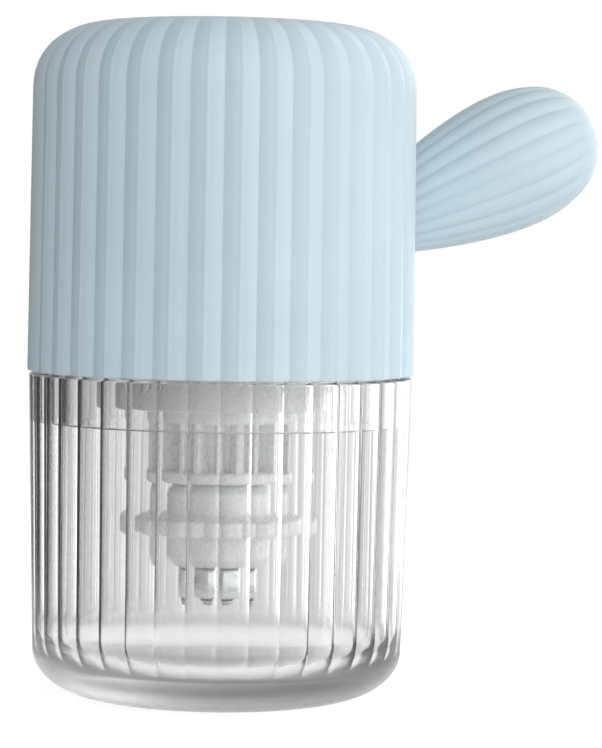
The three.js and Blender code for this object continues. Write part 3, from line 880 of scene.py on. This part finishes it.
def arm_half(name, first, node):
    """One moulded half of the arm, from an angle on: ribbed skin, a smooth inside, and the seam's edges.
    The tip is kept inside the CAD node's box."""
    columns = ARM_RIBS // 2 * 12
    rows = 60
    points = []
    for inset, rib in ((0.0, ARM_RIB), (ARM_WALL, 0.0)):
        for row in range(rows + 1):
            share = (row / rows) ** 2
            for column in range(columns + 1):
                angle = first + ARM_HALF_SEAM + (math.pi - 2 * ARM_HALF_SEAM) * column / columns
                reach = root_distance(angle, inset, rib)
                points.append(arm_point(inset + (reach - inset) * share, angle, inset, rib))
    width = columns + 1
    size = (rows + 1) * width
    outer = grid_faces(rows + 1, width, loop_columns=False)
    inner = [tuple(size + index for index in face)[::-1] for face in outer]
    edges = []
    for row in range(rows):
        for column in (0, columns):
            a, b = row * width + column, (row + 1) * width + column
            edges.append((a, b, size + b, size + a))
    for column in range(columns):
        for row in (0, rows):
            a = row * width + column
            edges.append((a, a + 1, size + a + 1, size + a))
    made = new_object(name, points, outer + inner + edges)
    reach = max(vertex.co.x for vertex in made.data.vertices) / MM
    limit = Node(node).high[0]
    if reach > limit:
        place(made, Matrix.Translation(((limit - reach) * MM, 0, 0)))
    sharpen(made, 40)
    return finish_piece(made, "cap", "blue_plastic", BLUE, node)


def arm_root_plug():
    """The CAD plug, hidden inside the arm's skin, has the right shape and only needs its finish."""
    frame["nodes"]["arm_root_plug"].material_slots[0].material = WHITE


def drive_plate():
    node = Node("drive_plate")
    profile = [
        (0, node.bottom),
        (SOCKET_RADIUS, node.bottom),
        (SOCKET_RADIUS, PLATE_BOTTOM),
        (node.radius, PLATE_BOTTOM),
        (node.radius, PLATE_TOP),
        (SOCKET_RADIUS, PLATE_TOP),
        (SOCKET_RADIUS, node.top),
        (0, node.top),
    ]
    made = turned("drive_plate_moulded", fillet(profile, 0.3, closed=False), 96)
    ribs = []
    for index in range(3):
        rib = block("rib", (5, 13), (-0.8, 0.8), (PLATE_BOTTOM - 1.8, PLATE_BOTTOM + 0.5), 0.25)
        ribs.append(turn_z(rib, 120 * index))
    combine(made, ribs)
    half = SQUARE_HALF + FIT
    socket_top = Node("drive_shaft").top + FIT
    socket = block("socket", (-half, half), (-half, half), (node.bottom - 2, socket_top), 0.2)
    combine(made, [socket], "DIFFERENCE")
    sharpen(made)
    return finish_piece(made, "cap", "white_plastic", WHITE, "drive_plate")


def pan_screw(name, shank, head, length):
    """A pan-head screw along +Z with its head under z = 0, a cross recess and a threaded shank."""
    pan = ((0.0, -SCREW_HEAD_HEIGHT), (0.5, -1.48), (0.8, -1.25), (0.97, -0.8), (1.0, -0.3), (1.0, 0.0))
    rows = [(share * head, z) for share, z in pan]
    turns = int((length - 1.2) / SCREW_PITCH)
    rows.append((0.72 * shank, 0.02))
    for turn in range(turns):
        low = 0.4 + turn * SCREW_PITCH
        crest = [(shank, low + 0.4 * SCREW_PITCH), (shank, low + 0.5 * SCREW_PITCH)]
        rows += [(0.72 * shank, low), *crest]
    rows += [(0.6 * shank, length - 0.5), (0, length)]
    made = turned(name, rows, 40)
    for x, y in (((-1.3, 1.3), (-0.28, 0.28)), ((-0.28, 0.28), (-1.3, 1.3))):
        combine(made, [block("recess", x, y, (-2, -0.85), 0.05)], "DIFFERENCE")
    return sharpen(made)


def cap_screws():
    for index in range(3):
        node = f"drive_plate_screw_{index + 1}"
        box = Node(node)
        length = box.top - box.bottom - SCREW_HEAD_HEIGHT
        made = pan_screw(f"{node}_cut", CAP_SCREW_RADIUS, CAP_SCREW_HEAD, length)
        x, y = [(box.low[axis] + box.high[axis]) / 2 for axis in (0, 1)]
        place(made, Matrix.Translation((x * MM, y * MM, (box.bottom + SCREW_HEAD_HEIGHT) * MM)))
        finish_piece(made, "cap", "steel", STEEL, node)
    for node in ("arm_screw_lower", "arm_screw_upper"):
        box = Node(node)
        length = box.high[0] - box.low[0] - SCREW_HEAD_HEIGHT
        made = pan_screw(f"{node}_cut", ARM_SCREW_RADIUS, ARM_SCREW_HEAD, length)
        centre = (box.bottom + box.top) / 2
        spot = Matrix.Translation(((box.low[0] + SCREW_HEAD_HEIGHT) * MM, 0, centre * MM))
        place(made, spot @ Matrix.Rotation(math.pi / 2, 4, "Y"))
        finish_piece(made, "cap", "steel", STEEL, node)


def retainer_screws():
    for index in range(3):
        node = f"retainer_screw_{index + 1}"
        box = Node(node)
        degrees = RETAINER_SCREW_PHASE + 120 * index
        head = rod(f"{node}_cut", 1.5, 0, 1.2, 0.3)
        combine(head, [rod("shank", 0.8, -2.6, 0.2, 0.1)])
        combine(head, [block("slot", (-2, 2), (-0.2, 0.2), (0.7, 2), 0.03)], "DIFFERENCE")
        height = (box.bottom + box.top) / 2
        reach = Node("burr_retainer").radius + FIT
        spin = Matrix.Rotation(math.radians(degrees), 4, "Z")
        spot = Matrix.Translation((reach * MM, 0, height * MM))
        place(head, spin @ spot @ Matrix.Rotation(math.pi / 2, 4, "Y"))
        sharpen(head)
        finish_piece(head, "mill", "steel", STEEL, node)


# ---- Studio ---------------------------------------------------------------------------------------

CAMERA_AZIMUTH = math.radians(-20)
CAMERA_DISTANCE = 0.420
CAMERA_HEIGHT = 0.0649
CAMERA_PITCH = math.radians(2.72)
CAMERA_YAW = math.radians(1.53)
CAMERA_ROLL = math.radians(0.99)
CAMERA_LENS = 144.7
SENSOR = 36.0
FLOOR_RADIUS = 350.0
FLOOR_DROP = 0.2
# How the floor looks to the object's surfaces, in millimetres from the middle. It fades into the room over
# FLOOR_FADE. A faint ring of light round the foot comes up over GLOW_RISE and dies away over GLOW_FALL.
FLOOR_FADE = (40.0, 180.0)
GLOW = 0.4
GLOW_RISE = (12.0, 20.0)
GLOW_FALL = (36.0, 50.0)
# How bright the room is round the object: pairs of an azimuth in degrees and a brightness. The object's
# left is at 0, the camera at 90, its right at 180, and 270 is straight behind it.
ROOM_BRIGHTEST = 2.4
ROOM = (
    (0, 0.42),
    (45, 0.88),
    (90, 1.42),
    (135, 1.48),
    (165, 1.40),
    (205, 1.00),
    (228, 2.40),
    (248, 2.40),
    (257, 0.95),
    (270, 0.60),
    (283, 0.52),
    (320, 0.35),
    (360, 0.42),
)
# Pairs of the sine of an angle above level and the room's share of its brightness there.
ROOM_BY_HEIGHT = ((-1.0, 0.45), (-0.45, 0.45), (-0.15, 1.0), (0.2, 1.0), (0.9, 0.55))
# A dark card stands behind the object to its left: pairs of an azimuth and what the card lets past, and
# pairs of the sine of an angle above level and what shows over the card's top.
CARD = ((0, 0.5), (12, 1.0), (281, 1.0), (290, 0.05), (346, 0.05), (360, 0.5))
CARD_BY_HEIGHT = ((-1.0, 0.0), (0.0, 0.0), (0.06, 1.0), (1.0, 1.0))


def camera():
    data = bpy.data.cameras.new("camera")
    data.sensor_fit = "VERTICAL"
    data.sensor_height = SENSOR
    data.lens = CAMERA_LENS
    data.clip_start = 0.01
    data.clip_end = 50
    made = bpy.data.objects.new("camera", data)
    made.matrix_world = (
        Matrix.Rotation(CAMERA_AZIMUTH, 4, "Z")
        @ Matrix.Translation((0, -CAMERA_DISTANCE, CAMERA_HEIGHT))
        @ Matrix.Rotation(-CAMERA_YAW, 4, "Z")
        @ Matrix.Rotation(math.pi / 2 - CAMERA_PITCH, 4, "X")
        @ Matrix.Rotation(CAMERA_ROLL, 4, "Z")
    )
    bpy.context.scene.collection.objects.link(made)
    bpy.context.scene.camera = made


def direction(azimuth, elevation):
    """A unit vector. Azimuth is degrees to the right of the way to the camera, and elevation degrees up."""
    turn = math.radians(azimuth) + CAMERA_AZIMUTH - math.pi / 2
    rise = math.radians(elevation)
    return Vector((math.cos(turn) * math.cos(rise), math.sin(turn) * math.cos(rise), math.sin(rise)))


def area_light(name, azimuth, elevation, distance, width, height, watts):
    """A soft box that faces the middle of the object."""
    data = bpy.data.lights.new(name, "AREA")
    data.shape = "RECTANGLE"
    data.size = width
    data.size_y = height
    data.energy = watts
    made = bpy.data.objects.new(name, data)
    middle = Vector((0, 0, 0.05))
    way = direction(azimuth, elevation)
    made.location = middle + distance * way
    made.rotation_euler = way.to_track_quat("Z", "Y").to_euler()
    bpy.context.scene.collection.objects.link(made)


def background(tree, colour=None, strength=None):
    """Plain white, or the colour and strength that two sockets give."""
    node = tree.nodes.new("ShaderNodeBackground")
    node.inputs["Color"].default_value = (1, 1, 1, 1)
    if colour:
        tree.links.new(colour, node.inputs["Color"])
        tree.links.new(strength, node.inputs["Strength"])
    return node.outputs["Background"]


def grey_ramp(tree, source, stops, brightest):
    """A ramp of greys, as shares of the brightest, from pairs of a position and a brightness."""
    ramp = tree.nodes.new("ShaderNodeValToRGB")
    elements = ramp.color_ramp.elements
    while len(elements) < len(stops):
        elements.new(0.5)
    for element, (position, value) in zip(elements, stops):
        element.position = position
        element.color = (*[value / brightest] * 3, 1)
    tree.links.new(source, ramp.inputs["Fac"])
    return ramp.outputs["Color"]


def maths(tree, operation, *values):
    """The result of one operation on sockets and numbers."""
    node = tree.nodes.new("ShaderNodeMath")
    node.operation = operation
    for socket, value in zip(node.inputs, values):
        if isinstance(value, bpy.types.NodeSocket):
            tree.links.new(value, socket)
        else:
            socket.default_value = value
    return node.outputs["Value"]


def mix_shaders(tree, share, first, second):
    """The first shader, giving way to the second as the share goes from 0 to 1."""
    mix = tree.nodes.new("ShaderNodeMixShader")
    tree.links.new(share, mix.inputs["Fac"])
    tree.links.new(first, mix.inputs[1])
    tree.links.new(second, mix.inputs[2])
    return mix.outputs["Shader"]


def split_by_ray(tree, kind, other_rays, these_rays):
    """One shader for rays of a kind and another for the rest."""
    path = tree.nodes.new("ShaderNodeLightPath")
    return mix_shaders(tree, path.outputs[kind], other_rays, these_rays)


def azimuth_of(tree, view):
    """How far round the room a direction lies, from 0 to 1."""
    turn = tree.nodes.new("ShaderNodeVectorRotate")
    turn.rotation_type = "Z_AXIS"
    turn.inputs["Angle"].default_value = -CAMERA_AZIMUTH
    tree.links.new(view, turn.inputs["Vector"])
    gradient = tree.nodes.new("ShaderNodeTexGradient")
    gradient.gradient_type = "RADIAL"
    tree.links.new(turn.outputs["Vector"], gradient.inputs["Vector"])
    return gradient.outputs["Fac"]


def world():
    """A pale room, darker to the left, with a low dark card. The camera itself sees it plain white."""
    made = bpy.data.worlds.new("studio")
    bpy.context.scene.world = made
    made.use_nodes = True
    tree = made.node_tree
    tree.nodes.clear()
    view = tree.nodes.new("ShaderNodeTexCoord").outputs["Generated"]
    azimuth = azimuth_of(tree, view)
    split = tree.nodes.new("ShaderNodeSeparateXYZ")
    tree.links.new(view, split.inputs["Vector"])
    height = maths(tree, "MULTIPLY_ADD", split.outputs["Z"], 0.5, 0.5)

    def by_azimuth(stops, brightest=1):
        return grey_ramp(tree, azimuth, [(angle / 360, value) for angle, value in stops], brightest)

    def by_height(stops):
        return grey_ramp(tree, height, [((z + 1) / 2, value) for z, value in stops], 1)

    room = maths(tree, "MULTIPLY", by_height(ROOM_BY_HEIGHT), ROOM_BRIGHTEST)
    past_card = maths(tree, "MAXIMUM", by_azimuth(CARD), by_height(CARD_BY_HEIGHT))
    strength = maths(tree, "MULTIPLY", past_card, room)
    lit = background(tree, by_azimuth(ROOM, ROOM_BRIGHTEST), strength)
    output = tree.nodes.new("ShaderNodeOutputWorld")
    seen = split_by_ray(tree, "Is Camera Ray", lit, background(tree))
    tree.links.new(seen, output.inputs["Surface"])


def floor_glow(shader, distance):
    """The strength of the ring of light round the foot."""
    rise = shader.ramp(distance, 0, GLOW, *[edge * MM for edge in GLOW_RISE])
    fall = shader.ramp(distance, 1, 0, *[edge * MM for edge in GLOW_FALL])
    return maths(shader.tree, "MULTIPLY", fall, rise)


def floor_material():
    """Pale to the camera. Other rays see a grey floor that fades into the room with distance."""
    shader = Shader("studio_floor", Roughness=0.6, Specular_IOR_Level=0.1)
    shader.feed("Base Color", shader.ramp(shader.noise(400), (0.90, 0.90, 0.90), (0.93, 0.93, 0.93)))
    shader.principled.inputs["Emission Color"].default_value = (1, 1, 1, 1)
    shader.principled.inputs["Emission Strength"].default_value = 0.5
    measure = shader.add("ShaderNodeVectorMath", operation="LENGTH")
    shader.link(shader.place, measure.inputs[0])
    distance = measure.outputs["Value"]
    grey = shader.add("ShaderNodeBsdfPrincipled")
    grey.inputs["Base Color"].default_value = (0.8, 0.8, 0.8, 1)
    grey.inputs["Roughness"].default_value = 1.0
    grey.inputs["Emission Color"].default_value = (1, 1, 1, 1)
    shader.link(floor_glow(shader, distance), grey.inputs["Emission Strength"])
    fade = shader.ramp(distance, 0, 1, *[edge * MM for edge in FLOOR_FADE])
    clear = shader.add("ShaderNodeBsdfTransparent").outputs["BSDF"]
    faded = mix_shaders(shader.tree, fade, grey.outputs["BSDF"], clear)
    seen = split_by_ray(shader.tree, "Is Camera Ray", faded, shader.principled.outputs["BSDF"])
    shader.link(seen, shader.tree.nodes["Material Output"].inputs["Surface"])
    return shader.material


def floor():
    count = 64
    angles = [TAU * k / count for k in range(count)]
    rim = [(FLOOR_RADIUS * math.cos(angle), FLOOR_RADIUS * math.sin(angle), 0) for angle in angles]
    made = new_object("studio_floor", rim, [tuple(range(count))])
    made.location.z = -FLOOR_DROP * MM
    made.data.materials.append(floor_material())


def studio():
    camera()
    world()
    floor()
    area_light("key", 74, 5, 0.7, 0.1, 0.6, 0.9)
    settings = bpy.context.scene.view_settings
    settings.view_transform = "Standard"
    settings.look = "None"


studio()
jar()
mill_body()
hopper()
burr_retainer()
seal_ring()
bushes()
outer_burr()
retainer_screws()
drive_shaft()
inner_burr()
burr_carrier()
adjust_knob()
lock_nut()
thrust_washer()
burr_spring()
retaining_clip()
cap_shell()
arm_half("arm_back_moulded", 0.0, "arm_back_shell")
arm_half("arm_front_moulded", math.pi, "arm_front_shell")
arm_root_plug()
drive_plate()
cap_screws()
